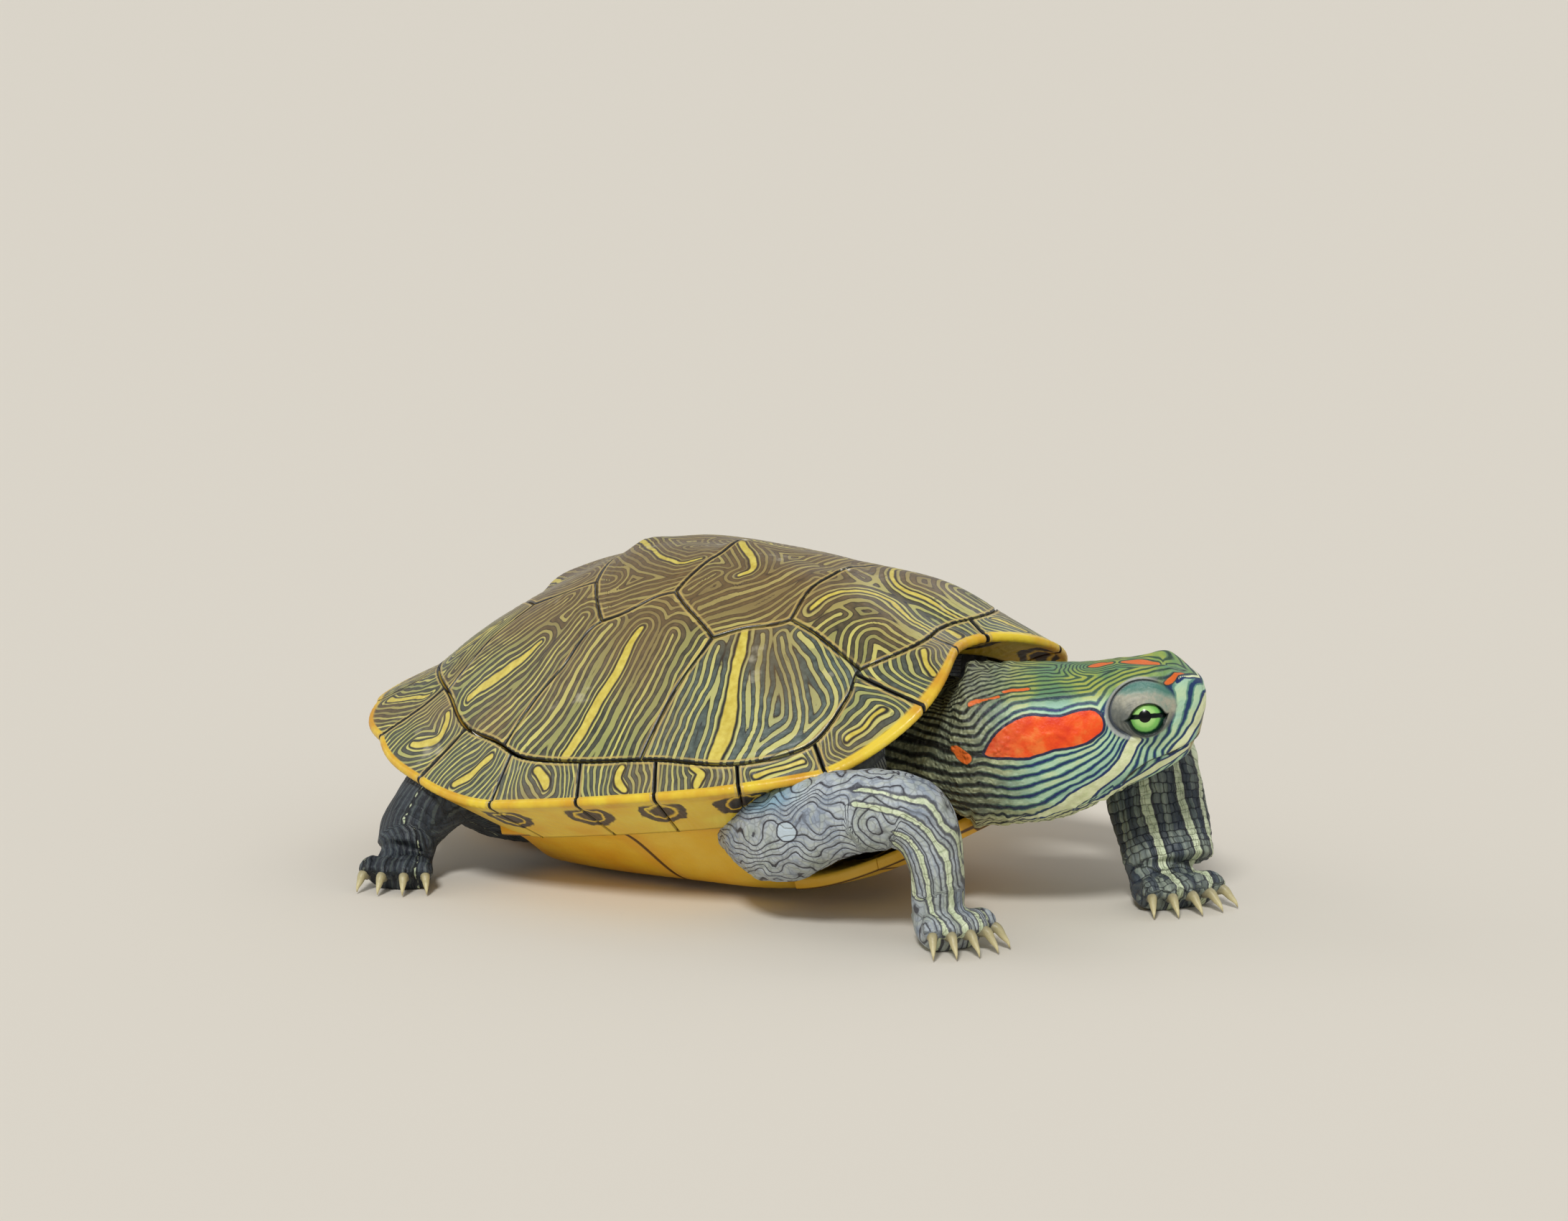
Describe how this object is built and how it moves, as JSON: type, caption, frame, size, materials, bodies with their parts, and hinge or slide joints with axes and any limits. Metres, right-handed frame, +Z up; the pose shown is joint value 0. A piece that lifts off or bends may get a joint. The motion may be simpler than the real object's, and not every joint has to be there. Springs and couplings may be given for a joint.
{
  "type": "red-eared slider turtle",
  "caption": "Young slider turtle standing with raised front and head turned to its left: domed plated shell, red ear patch, webbed clawed feet.",
  "frame": {"origin": "middle of the bounding box on the floor plane", "axes": "+X towards the front of the shell, +Y the animal's left, +Z up"},
  "size_m": [0.1556, 0.116, 0.0553],
  "materials": {
    "carapace": "satin horn scutes, olive brown with wavy yellow and dark stripes",
    "rim": "satin horn scutes with arcs and a bright yellow edge",
    "plastron": "satin horn, yellow orange with dark ringed blotches",
    "skin": "fine scaly skin, grey green with pale yellow stripes and a red ear patch",
    "eye": "wet, lime green iris with a dark bar"
  },
  "bodies": {
    "root": {"nuchal": "rim", "vertebral_1": "carapace", "vertebral_2": "carapace", "vertebral_3": "carapace", "vertebral_4": "carapace", "vertebral_5": "carapace", "costal_left_1": "carapace", "costal_left_2": "carapace", "costal_left_3": "carapace", "costal_left_4": "carapace", "marginal_left_1": "rim", "marginal_left_2": "rim", "marginal_left_3": "rim", "marginal_left_4": "rim", "marginal_left_5": "rim", "marginal_left_6": "rim", "marginal_left_7": "rim", "marginal_left_8": "rim", "marginal_left_9": "rim", "marginal_left_10": "rim", "marginal_left_11": "rim", "marginal_left_12": "rim", "costal_right_1": "carapace", "costal_right_2": "carapace", "costal_right_3": "carapace", "costal_right_4": "carapace", "marginal_right_1": "rim", "marginal_right_2": "rim", "marginal_right_3": "rim", "marginal_right_4": "rim", "marginal_right_5": "rim", "marginal_right_6": "rim", "marginal_right_7": "rim", "marginal_right_8": "rim", "marginal_right_9": "rim", "marginal_right_10": "rim", "marginal_right_11": "rim", "marginal_right_12": "rim", "plastron_anal": "plastron", "plastron_femoral": "plastron", "plastron_abdominal": "plastron", "plastron_pectoral": "plastron", "plastron_humeral": "plastron", "plastron_gular": "plastron", "trunk": "skin", "head": "skin", "lower_jaw": "skin", "neck": "skin", "eye_left": "eye", "eye_right": "eye", "tail": "skin", "forefoot_right": "skin", "foreleg_right": "skin", "forefoot_left": "skin", "foreleg_left": "skin", "hindfoot_right": "skin", "hindleg_right": "skin", "hindfoot_left": "skin", "hindleg_left": "skin"}
  },
  "joints": []
}
